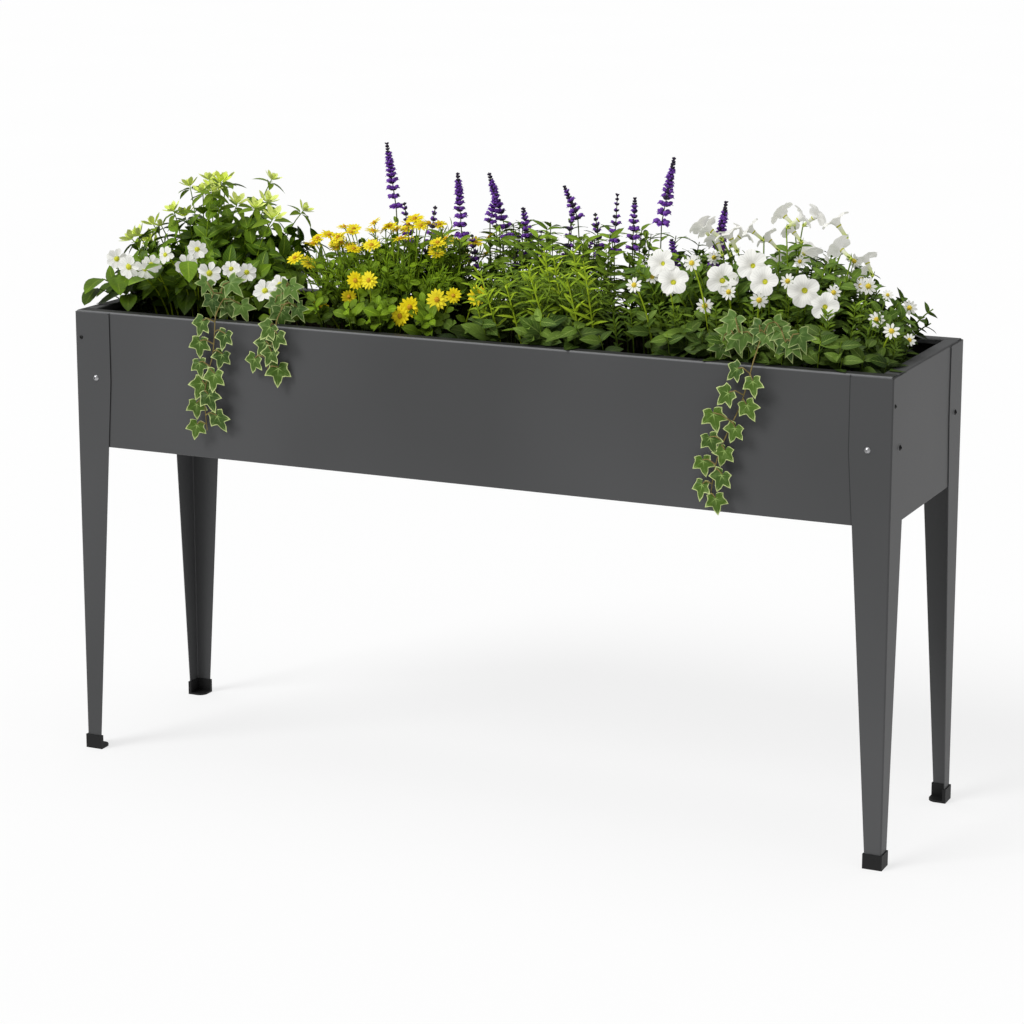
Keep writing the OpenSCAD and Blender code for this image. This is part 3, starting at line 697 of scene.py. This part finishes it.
def growYellowBush():
    dice = random.Random(23)
    leaf = blade("daisy_leaf", 0.036, 0.019, 0.6, 0.7, 8, 2, fold=0.25, droop=0.3, wave=0.12)
    thin = blade("thin_leaf", 0.03, 0.004, 0.4, 0.7, 5, 2, fold=0.5, droop=0.25)
    petal = blade("ray_petal", 0.42, 0.15, 0.6, 0.5, 4, 2, fold=0.1, droop=0.1, notch=0.08)
    inner = blade("inner_ray", 0.3, 0.13, 0.6, 0.5, 4, 2, fold=0.1, droop=0.05)
    centre = dome("gold_dome", 0.12, 0.1, 1, 5, 12)
    sepal = blade("yellow_sepal", 0.22, 0.09, 0.4, 0.8, 3, 2, fold=0.2, droop=0.1, paint=2)
    blooms = [cluster("yellow_bloom", ringOf(petal, 14, 0.1, 0.08, 0, 0, dice, 0.1)
                      + ringOf(inner, 9, 0.35, 0.07, 0.2, 0, dice, 0.12)
                      + ringOf(sepal, 7, -0.35, 0.01, 0.3, -0.02)
                      + [(centre, Matrix.Translation((0, 0, 0.03)))]) for i in range(4)]
    stems, stalks, leaves, flowers = [], [], newGroup(), newGroup()
    for path in crowd(dice, 125, (-385, -45), (-110, 150), yellowBush["tops"], yellowBush["heart"], 0.45,
                      0.5):
        stems.append(path)
        leafPairs(leaves, leaf, path, dice, 0.3, 0.85, 0.016, 0.95, perNode=1)
        leafPairs(leaves, thin, path, dice, 0.6, 1.0, 0.008, 1.0, lift=1.0, perNode=2, tints=(0.1, 0.8))
    for path in crowd(dice, 26, (-385, -40), (-162, -120), yellowBush["frontTops"], yellowBush["heart"], 0.15,
                      0.3, 1.0):
        stems.append(path)
        leafPairs(leaves, leaf, path, dice, 0.45, 1.0, 0.016, 1.15, perNode=2, tints=(0.35, 1))
    targets = [(*target, False) for target in scatter(dice, yellowBush["tops"], *yellowBush["front"])]
    targets += [(*target, True) for target in scatter(dice, yellowBush["tops"], *yellowBush["back"])]
    targets += [(dice.uniform(-370, -60), dice.uniform(30, 140), dice.uniform(90, 145), 30, True)
                for i in range(16)]
    for x, y, z, size, tilted in targets:
        path = stalkTo(dice, spot(x, y, z), yellowBush["heart"], 0.25)
        (stems if tilted else stalks).append(path)
        leafPairs(leaves, leaf, path, dice, 0.35, 0.75, 0.024, 0.85, perNode=1, tints=(0.3, 1))
        facing = Vector((dice.gauss(0, 0.4), dice.gauss(-0.25, 0.25), 1)) if tilted else outward(dice, 0.2)
        addCopy(flowers, dice.choice(blooms), faceTo(path[-1], facing, dice.random() * 6, size * mm),
                dice.random())
    tubes("yellow_bush_stems", stems, 0.0015, 0.0009, "greenStem", ["yellow_daisy_bush"])
    tubes("yellow_bush_stalks", stalks, 0.0019, 0.0013, "stalk", ["yellow_daisy_bush"])
    finishPiece("yellow_bush_leaves", leaves, ["yellowLeaf"], ["yellow_daisy_bush"], "foliage")
    finishPiece("yellow_bush_flowers", flowers, ["yellowPetal", "goldCentre", "greenStem"],
                ["yellow_daisy_bush"],
                "yellow_petals")


growYellowBush()
print("yellow daisies grown")


salvia = {
    "tops": ((-389, 95), (-300, 125), (-200, 140), (-100, 150), (0, 165), (100, 170), (200, 168), (300, 145),
             (404, 120)),
    "plants": (  # middle x, y, how many spikes, the tallest
        (-210, 60, 3, 290), (-60, 40, 4, 250), (50, 60, 5, 250), (180, 60, 5, 290), (310, 70, 3, 220)),
    "spikeGap": 35,
    "shorterBy": (30, 110),
    "spikeLengths": (35, 110),
}


def salviaSpikes(dice):
    spikes = []
    for x, y, count, tallest in salvia["plants"]:
        leader = dice.randrange(count)  # one spike of a plant stands over the others
        for i in range(count):
            across = (i - (count - 1) / 2) * salvia["spikeGap"] + dice.gauss(0, 6)
            height = tallest if i == leader else tallest - dice.uniform(*salvia["shorterBy"])
            length = max(salvia["spikeLengths"]) if i == leader else dice.uniform(*salvia["spikeLengths"])
            lean = 0.3 * across + dice.gauss(0, 8)
            purple = 1 if i == leader else dice.uniform(0.2, 0.95)
            spikes.append((x + across + lean, y, height, x + across, height - length, purple))
    return spikes


def growSalvia():
    dice = random.Random(37)
    leaf = blade("lance_leaf", 0.05, 0.016, 0.4, 0.75, 6, 2, fold=0.3, droop=0.4, wave=0.06)
    lip = blade("floret_lip", 0.0065, 0.008, 0.6, 0.5, 4, 2, fold=0.3, droop=0.35)
    tube = dome("floret_tube", 0.0032, 0.0032, 0, 5, 8)
    cup = dome("floret_cup", 0.0026, 0.0026, 1, 5, 8)
    longer = Matrix.Diagonal((1, 1.55, 1, 1))
    lipPlace = Matrix.Translation((0, 0.0055, -0.0005)) @ Matrix.Rotation(-0.35, 4, "X")
    floret = cluster("floret", [(cup, Matrix.Translation((0, 0.003, 0)) @ longer),
                                (tube, Matrix.Translation((0, 0.0068, 0.0008)) @ longer),
                                (lip, lipPlace)])
    bud = cluster("floret_bud", [(cup, Matrix.Translation((0, 0.003, 0)) @ longer)])
    stems, leaves, florets = [], newGroup(), newGroup()
    for path in crowd(dice, 150, (-380, 400), (-10, 160), salvia["tops"], (0, 90), 0.05, 0.55, 1.0, 0.1):
        stems.append(path)
        leafPairs(leaves, leaf, path, dice, 0.25, 1.0, 0.02, 1.0, tints=(0.2, 1))
    for x, y, z, lowX, lowZ, purple in salviaSpikes(dice):
        tip, foot = spot(x, y, z), spot(lowX, y, lowZ)
        root = Vector((foot.x + (foot.x - tip.x) * 0.5, y * mm + 0.01, soilZ - 0.01))
        path = arch(root, foot, 0.6, 0.6) + [foot.lerp(tip, i / 5) for i in range(1, 6)]
        stems.append(path)
        leafPairs(leaves, leaf, path[:9], dice, 0.2, 0.9, 0.03, 0.9, tints=(0.3, 1))
        length = (tip - foot).length
        axis = (tip - foot).normalized()
        side = axis.orthogonal().normalized()
        reach, gap, turn = 0.0, min(0.017, 0.2 * length), dice.uniform(0, 3)
        while reach < length:
            share = reach / length
            middle = foot + axis * reach
            girth = (1.1 - 0.7 * share ** 1.5) * (0.85 + 0.2 * purple) * min(1, 0.5 + 7 * length)
            turn += 0.6
            for j in range(6):
                out = Matrix.Rotation(turn + math.pi * j / 3 + dice.uniform(-0.15, 0.15), 3, axis) @ side
                start = middle + out * 0.001 + axis * dice.uniform(-0.0008, 0.0008)
                opened = share < 0.85 and dice.random() < 0.1 + 0.8 * purple
                shape = floret if opened else bud
                size = girth * dice.uniform(0.85, 1.15) * (1.0 if opened else 1.2)
                addCopy(florets, shape, aim(start, out + axis * (0.25 + share), axis, size), dice.random())
            reach += gap
            gap = max(0.0052, gap * (0.84 if purple > 0.7 else 0.9))
        for j in range(5):
            out = Matrix.Rotation(1.2 * j, 3, axis) @ side
            addCopy(florets, bud, aim(tip - axis * 0.004, out * 0.35 + axis, axis, 0.5), dice.random())
    tubes("salvia_stems", stems, 0.0014, 0.0008, "darkStem", ["salvia_bush", "salvia_spikes"])
    finishPiece("salvia_leaves", leaves, ["salviaLeaf"], ["salvia_bush"], "foliage")
    finishPiece("salvia_florets", florets, ["purplePetal", "budDark"], ["salvia_spikes"], "purple_petals")


growSalvia()
print("salvia grown")


fineBush = {
    "heart": (95, -60),
    "bright": (  # foot x, tip x, y, height
        (60, 15, -135, 105), (150, 100, -130, 115), (140, 112, -95, 150), (160, 132, -100, 135),
        (215, 190, -110, 135), (75, 38, -90, 95), (130, 70, -70, 115), (200, 165, -120, 105),
        (40, -10, -110, 85), (180, 150, -60, 140), (95, 60, -130, 85), (125, 90, -110, 100),
        (35, 5, -140, 70)),
    "tops": ((-39, 75), (0, 110), (50, 125), (110, 135), (160, 135), (200, 115), (227, 85)),
    "lowTops": ((-60, 30), (60, 50), (140, 50), (227, 40)),
}


def growFineBush():
    dice = random.Random(41)
    leaf = blade("narrow_leaf", 0.033, 0.0056, 0.45, 0.7, 6, 2, fold=0.35, droop=0.55)
    broad = blade("lower_leaf", 0.048, 0.024, 0.4, 0.75, 6, 2, fold=0.3, droop=0.3)
    stems, brightStems, leaves, bright, low = [], [], newGroup(), newGroup(), newGroup()
    for footX, tipX, y, height in fineBush["bright"]:
        path = arch(Vector((footX * mm, (y + 10) * mm, soilZ - 0.01)), spot(tipX, y, height), 0.45, 0.5, 12)
        brightStems.append(path)
        leafPairs(bright, leaf, path, dice, 0.42, 1.0, 0.009, 1.1, lift=0.7, tints=(0, 1), shrink=0.4)
    for path in crowd(dice, 64, (-35, 222), (-120, 0), fineBush["tops"], fineBush["heart"], 0.35, 0.6, 0.75,
                      0.1):
        stems.append(path)
        leafPairs(leaves, leaf, path, dice, 0.35, 1.0, 0.008, 1.0, lift=0.6, tints=(0, 0.9))
    for path in crowd(dice, 24, (-60, 225), (-160, -112), fineBush["lowTops"], fineBush["heart"], 0.1, 0.4,
                      0.9):
        stems.append(path)
        leafPairs(low, broad, path, dice, 0.4, 1.0, 0.016, 1.2, lift=0.4, tints=(0, 1))
    tubes("fine_bush_stems", stems, 0.0013, 0.0007, "greenStem", ["fine_leaf_bush"])
    tubes("fine_bush_main_stems", brightStems, 0.0024, 0.0011, "stalk", ["fine_leaf_bush"])
    finishPiece("fine_bush_leaves", leaves, ["fineLeaf"], ["fine_leaf_bush"], "foliage")
    finishPiece("fine_bush_bright_leaves", bright, ["limeLeaf"], ["fine_leaf_bush"], "foliage")
    finishPiece("fine_bush_low_leaves", low, ["dustyLeaf"], ["fine_leaf_bush"], "foliage")


growFineBush()
print("fine-leaved filler grown")


petunias = {
    "open": (7, (280, 630), (-110, -50), (0.65, 1.05), (46, 56)),
    "side": (13, (310, 590), (20, 70), (1.15, 1.45), (44, 54)),
    "tops": ((225, 110), (300, 130), (409, 140), (450, 150), (520, 155), (600, 130), (650, 100), (700, 70),
             (745, 35)),
}
smallDaisies = {
    "spots": (30, (235, 735), (-130, 70), (0.7, 1.5), (20, 32)),
    "tops": ((225, 80), (400, 100), (520, 100), (600, 95), (680, 75), (740, 35)),
    "frontTops": ((225, 40), (330, 55), (400, 45), (600, 50), (680, 40), (730, 15)),
}


def growPetunias():
    dice = random.Random(53)
    leaf = blade("soft_leaf", 0.042, 0.021, 0.4, 0.7, 5, 2, fold=0.25, droop=0.3)
    fiveLobes, sixLobes = trumpet("petunia_trumpet", 0.5, 0.8, 5), trumpet("wide_petunia", 0.5, 0.6, 6)
    throat = dome("petunia_heart", 0.1, 0.07, 1)
    sepal = blade("petunia_sepal", 0.2, 0.06, 0.4, 0.8, 3, 2, fold=0.2, droop=0.1, paint=2)
    blooms = [cluster("petunia_bloom", ringOf(sepal, 5, 0.9, 0.03, 0.3, -depth) + [
        (shape, Matrix()), (throat, Matrix.Translation((0, 0, -0.3)))])
        for shape, depth in ((fiveLobes, 0.8), (sixLobes, 0.6))]
    stems, leaves, flowers = [], newGroup(), newGroup()
    for path in crowd(dice, 130, (230, 725), (-60, 150), petunias["tops"], (480, 40), 0.25, 0.5, 0.8):
        stems.append(path)
        leafPairs(leaves, leaf, path, dice, 0.3, 1.0, 0.016, 1.05)
    targets = [(*target, False) for target in scatter(dice, petunias["tops"], *petunias["open"])]
    targets += [(*target, True) for target in scatter(dice, petunias["tops"], *petunias["side"])]
    targets += [(dice.uniform(260, 620), dice.uniform(90, 150), dice.uniform(110, 170), 48, True)
                for i in range(9)]
    for i, (x, y, z, size, turned) in enumerate(targets):
        lookAway = Vector((dice.choice((-1, 1)) * dice.uniform(0.3, 1.2), dice.gauss(0.1, 0.4), 0.8))
        facing = lookAway if turned else outward(dice, 0.15)
        facing.normalize()
        shape, depth = (blooms[1], 0.6) if i in (0, 3) else (blooms[0], 0.8)
        path = stalkTo(dice, spot(x, y, z) - facing * size * mm * depth, (480, 40), 0.3)
        stems.append(path)
        leafPairs(leaves, leaf, path, dice, 0.35, 0.85, 0.03, 0.9, tints=(0.4, 1))
        addCopy(flowers, shape, faceTo(spot(x, y, z), facing, dice.random() * 6, size * mm), dice.random())
    tubes("petunia_stems", stems, 0.0017, 0.0011, "greenStem", ["petunia_bush"])
    finishPiece("petunia_leaves", leaves, ["petuniaLeaf"], ["petunia_bush"], "foliage")
    finishPiece("petunia_flowers", flowers, ["petuniaPetal", "limeCentre", "greenStem"], ["petunia_bush"],
                "white_petals")


def growSmallDaisies():
    dice = random.Random(61)
    leaf = blade("daisy_low_leaf", 0.05, 0.025, 0.42, 0.75, 6, 2, fold=0.3, droop=0.3)
    sliver = blade("sliver_leaf", 0.026, 0.006, 0.42, 0.75, 4, 2, fold=0.3, droop=0.2)
    petal = blade("small_ray", 0.4, 0.17, 0.6, 0.5, 4, 2, fold=0.1, droop=0.1)
    centre = dome("small_gold_dome", 0.15, 0.12, 1, 5, 10)
    sepal = blade("small_sepal", 0.22, 0.09, 0.4, 0.8, 3, 2, fold=0.2, droop=0.1, paint=2)
    blooms = [cluster("small_daisy", ringOf(petal, 10, 0.15, 0.09, 0, 0, dice, 0.15)
                      + ringOf(sepal, 6, -0.35, 0.01, 0.3, -0.02)
                      + [(centre, Matrix.Translation((0, 0, 0.02)))]) for i in range(4)]
    stems, stalks, leaves, slivers, flowers = [], [], newGroup(), newGroup(), newGroup()
    for path in crowd(dice, 100, (225, 728), (-110, 40), smallDaisies["tops"], (480, -60), 0.05, 0.5, 0.9):
        stems.append(path)
        leafPairs(slivers, sliver, path, dice, 0.4, 1.0, 0.008, 1.15)
    for path in crowd(dice, 44, (225, 725), (-160, -112), smallDaisies["frontTops"], (480, -60), 0.05, 0.4,
                      1.0):
        stems.append(path)
        leafPairs(leaves, leaf, path, dice, 0.4, 1.0, 0.017, 1.1, lift=0.4, tints=(0, 1))
    for x, y, z, size in scatter(dice, smallDaisies["tops"], *smallDaisies["spots"]):
        path = stalkTo(dice, spot(x, y, z), (480, 0), 0.15)
        (stalks if y < -50 else stems).append(path)
        leafPairs(leaves, leaf, path, dice, 0.35, 0.6, 0.035, 0.7, tints=(0.4, 1))
        bloom = dice.choice(blooms)
        place = faceTo(path[-1], outward(dice, 0.35), dice.random() * 6, size * mm)
        addCopy(flowers, bloom, place, dice.random())
    tubes("small_daisy_stems", stems, 0.0012, 0.0007, "greenStem", ["small_daisy_bush"])
    tubes("small_daisy_stalks", stalks, 0.0019, 0.0012, "stalk", ["small_daisy_bush"])
    finishPiece("small_daisy_leaves", leaves, ["dustyLeaf"], ["small_daisy_bush"], "foliage")
    finishPiece("small_daisy_slivers", slivers, ["salviaLeaf"], ["small_daisy_bush"], "foliage")
    finishPiece("small_daisy_flowers", flowers, ["whitePetal", "sunCentre", "greenStem"],
                ["small_daisy_bush"],
                "white_petals")


growPetunias()
growSmallDaisies()
print("petunias and small daisies grown")


ivyTrails = (  # millimetres; a drop is below the rim, a drift is along it
    {"name": "ivy_left", "x": -460, "drop": 190, "drift": -20, "width": 45, "topLeaves": 6, "hangLeaves": 11},
    {"name": "ivy_middle", "x": -340, "drop": 80, "drift": -15, "width": 30, "topLeaves": 7, "hangLeaves": 6},
    {"name": "ivy_right", "x": 520, "drop": 225, "drift": -70, "width": 75, "topLeaves": 14,
     "hangLeaves": 12},
)


ivyDepths = {"soil": -110, "crown": -150, "lip": -202, "hang": -206, "topLeaf": -165, "hangLeaf": -212}


def vineAt(trail, share):  # x and height of a vine at a share of its drop
    return trail["x"] + trail["drift"] * share + 6 * math.sin(7 * share), 10 - (trail["drop"] + 10) * share


def ivySpots(trail, dice):
    spots = []
    for i in range(trail["topLeaves"]):
        across = 2 * (i + 0.5) / trail["topLeaves"] - 1
        spots.append((trail["x"] + trail["width"] * across, ivyDepths["topLeaf"], dice.uniform(8, 58)))
    for i in range(trail["hangLeaves"]):
        x, z = vineAt(trail, (i + 1) / trail["hangLeaves"])
        side = 1 if i % 2 else -1
        spots.append((x + side * dice.uniform(8, 34), ivyDepths["hangLeaf"], z))
    return spots


def nearestKnot(paths, centre):  # where a leaf's stalk leaves the vine, a little above the leaf
    wanted = centre + 0.012 * up
    return min((knot for path in paths for knot in path), key=lambda knot: (knot - wanted).length)


def hangIvy(trail, seed):
    dice = random.Random(seed)
    deep = lobedLeaf("deep_ivy_leaf", 0.026, (1.15, 0.72, 0.48, 0.62, 0.95, 0.64, 0.47, 0.54, 0.7, 0.56, 0.46,
                                              0.34, 0.1))
    broad = lobedLeaf("broad_ivy_leaf", 0.025, (1.25, 0.9, 0.62, 0.7, 1.0, 0.78, 0.6, 0.6, 0.72, 0.6, 0.5,
                                                0.4, 0.1))
    leaves, paths = newGroup(), []
    startX = trail["x"]
    knots = [spot(startX, ivyDepths["soil"], -50), spot(startX, ivyDepths["crown"], 35),
             spot(startX + 5, ivyDepths["lip"], 17)]
    for i in range(1, 7):
        hangX, z = vineAt(trail, i / 6)
        knots.append(spot(hangX, ivyDepths["hang"], z))
    vine = []
    for i, (a, b) in enumerate(zip(knots, knots[1:])):
        before, after = knots[max(0, i - 1)], knots[min(len(knots) - 1, i + 2)]
        for k in range(5):
            s = k / 5
            vine.append(0.5 * ((2 * a) + (b - before) * s + (2 * before - 5 * a + 4 * b - after) * s * s
                               + (3 * a - before - 3 * b + after) * s ** 3))
    vine.append(knots[-1])
    paths.append(vine)
    centres = [spot(x, y + dice.uniform(-5, 5), z) for x, y, z in ivySpots(trail, dice)]
    for centre in sorted(centres, key=lambda c: (nearestKnot(paths, c) - c).length):
        near, z = nearestKnot(paths, centre), centre.z - rimZ
        side = centre - near
        heading = Vector((side.x * 12 + dice.uniform(-0.5, 0.5), dice.uniform(-0.25, 0.1), -0.7 + side.z * 8))
        heading.normalize()
        size = dice.uniform(0.85, 1.1) * (1.1 if z > 0 else 1.0)
        foot = centre - heading * 0.012 * size
        mid = near.lerp(foot, 0.5) + Vector((0, -0.006, 0.006))
        paths.append([near, near.lerp(mid, 0.6), mid, mid.lerp(foot, 0.6), foot])
        facing = Vector((dice.uniform(-0.35, 0.45), -1, dice.uniform(0.1, 0.7)))
        addCopy(leaves, deep if z > 0 else broad, aim(foot, heading, facing, size), dice.random())
    name = trail["name"]
    tubes(name + "_vine", paths, 0.0012, 0.0008, "vine", [name])
    finishPiece(name + "_leaves", leaves, ["ivy"], [name], "ivy_foliage")


for number, trail in enumerate(ivyTrails):
    hangIvy(trail, 70 + number)
print("ivy hung")


def floorPaint():
    paint, tree = newPaint("pale_floor")
    haze = noiseOf(tree, 0.8, 2.0)
    return coat(paint, Base_Color=blend(haze, rgb(0.255, 0.255, 0.255), rgb(0.265, 0.265, 0.265)),
                Roughness=0.9,
                Specular_IOR_Level=0.0, Emission_Color=rgb(1, 1, 1), Emission_Strength=0.705)


def layFloor():
    bm = bmesh.new()
    bmesh.ops.create_grid(bm, x_segments=1, y_segments=1, size=25)
    mesh = bpy.data.meshes.new("studio_floor")
    bm.to_mesh(mesh)
    bm.free()
    mesh.materials.append(floorPaint())
    floor = bpy.data.objects.new("studio_floor", mesh)
    bpy.context.scene.collection.objects.link(floor)


def softSun(name, towards, spread, strength):
    light = bpy.data.lights.new(name, "SUN")
    light.angle = math.radians(spread)
    light.energy = strength
    made = bpy.data.objects.new(name, light)
    made.rotation_euler = Vector(towards).to_track_quat("-Z", "Y").to_euler()
    bpy.context.scene.collection.objects.link(made)


def setCamera():
    azimuth, elevation, distance = math.radians(24.86), math.radians(11.57), 4.944
    target = Vector((0.0098, 0, 0.6551))
    back = Vector((math.sin(azimuth) * math.cos(elevation), -math.cos(azimuth) * math.cos(elevation),
                   math.sin(elevation)))
    data = bpy.data.cameras.new("camera")
    data.lens = 100.9
    data.shift_y = -0.1
    camera = bpy.data.objects.new("camera", data)
    camera.location = target + back * distance
    camera.rotation_euler = back.to_track_quat("Z", "Y").to_euler()
    bpy.context.scene.collection.objects.link(camera)
    bpy.context.scene.camera = camera


layFloor()
softSun("overhead_light", (0.15, 0.02, -1), 60, 0.9)
softSun("front_light", (0.5, 0.7, -0.8), 25, 1.85)
world = bpy.data.worlds.new("studio")
world.use_nodes = True
world.node_tree.nodes["Background"].inputs["Color"].default_value = rgb(1, 1, 1)
world.node_tree.nodes["Background"].inputs["Strength"].default_value = 0.42
bpy.context.scene.world = world
bpy.context.scene.view_settings.view_transform = "Standard"
setCamera()
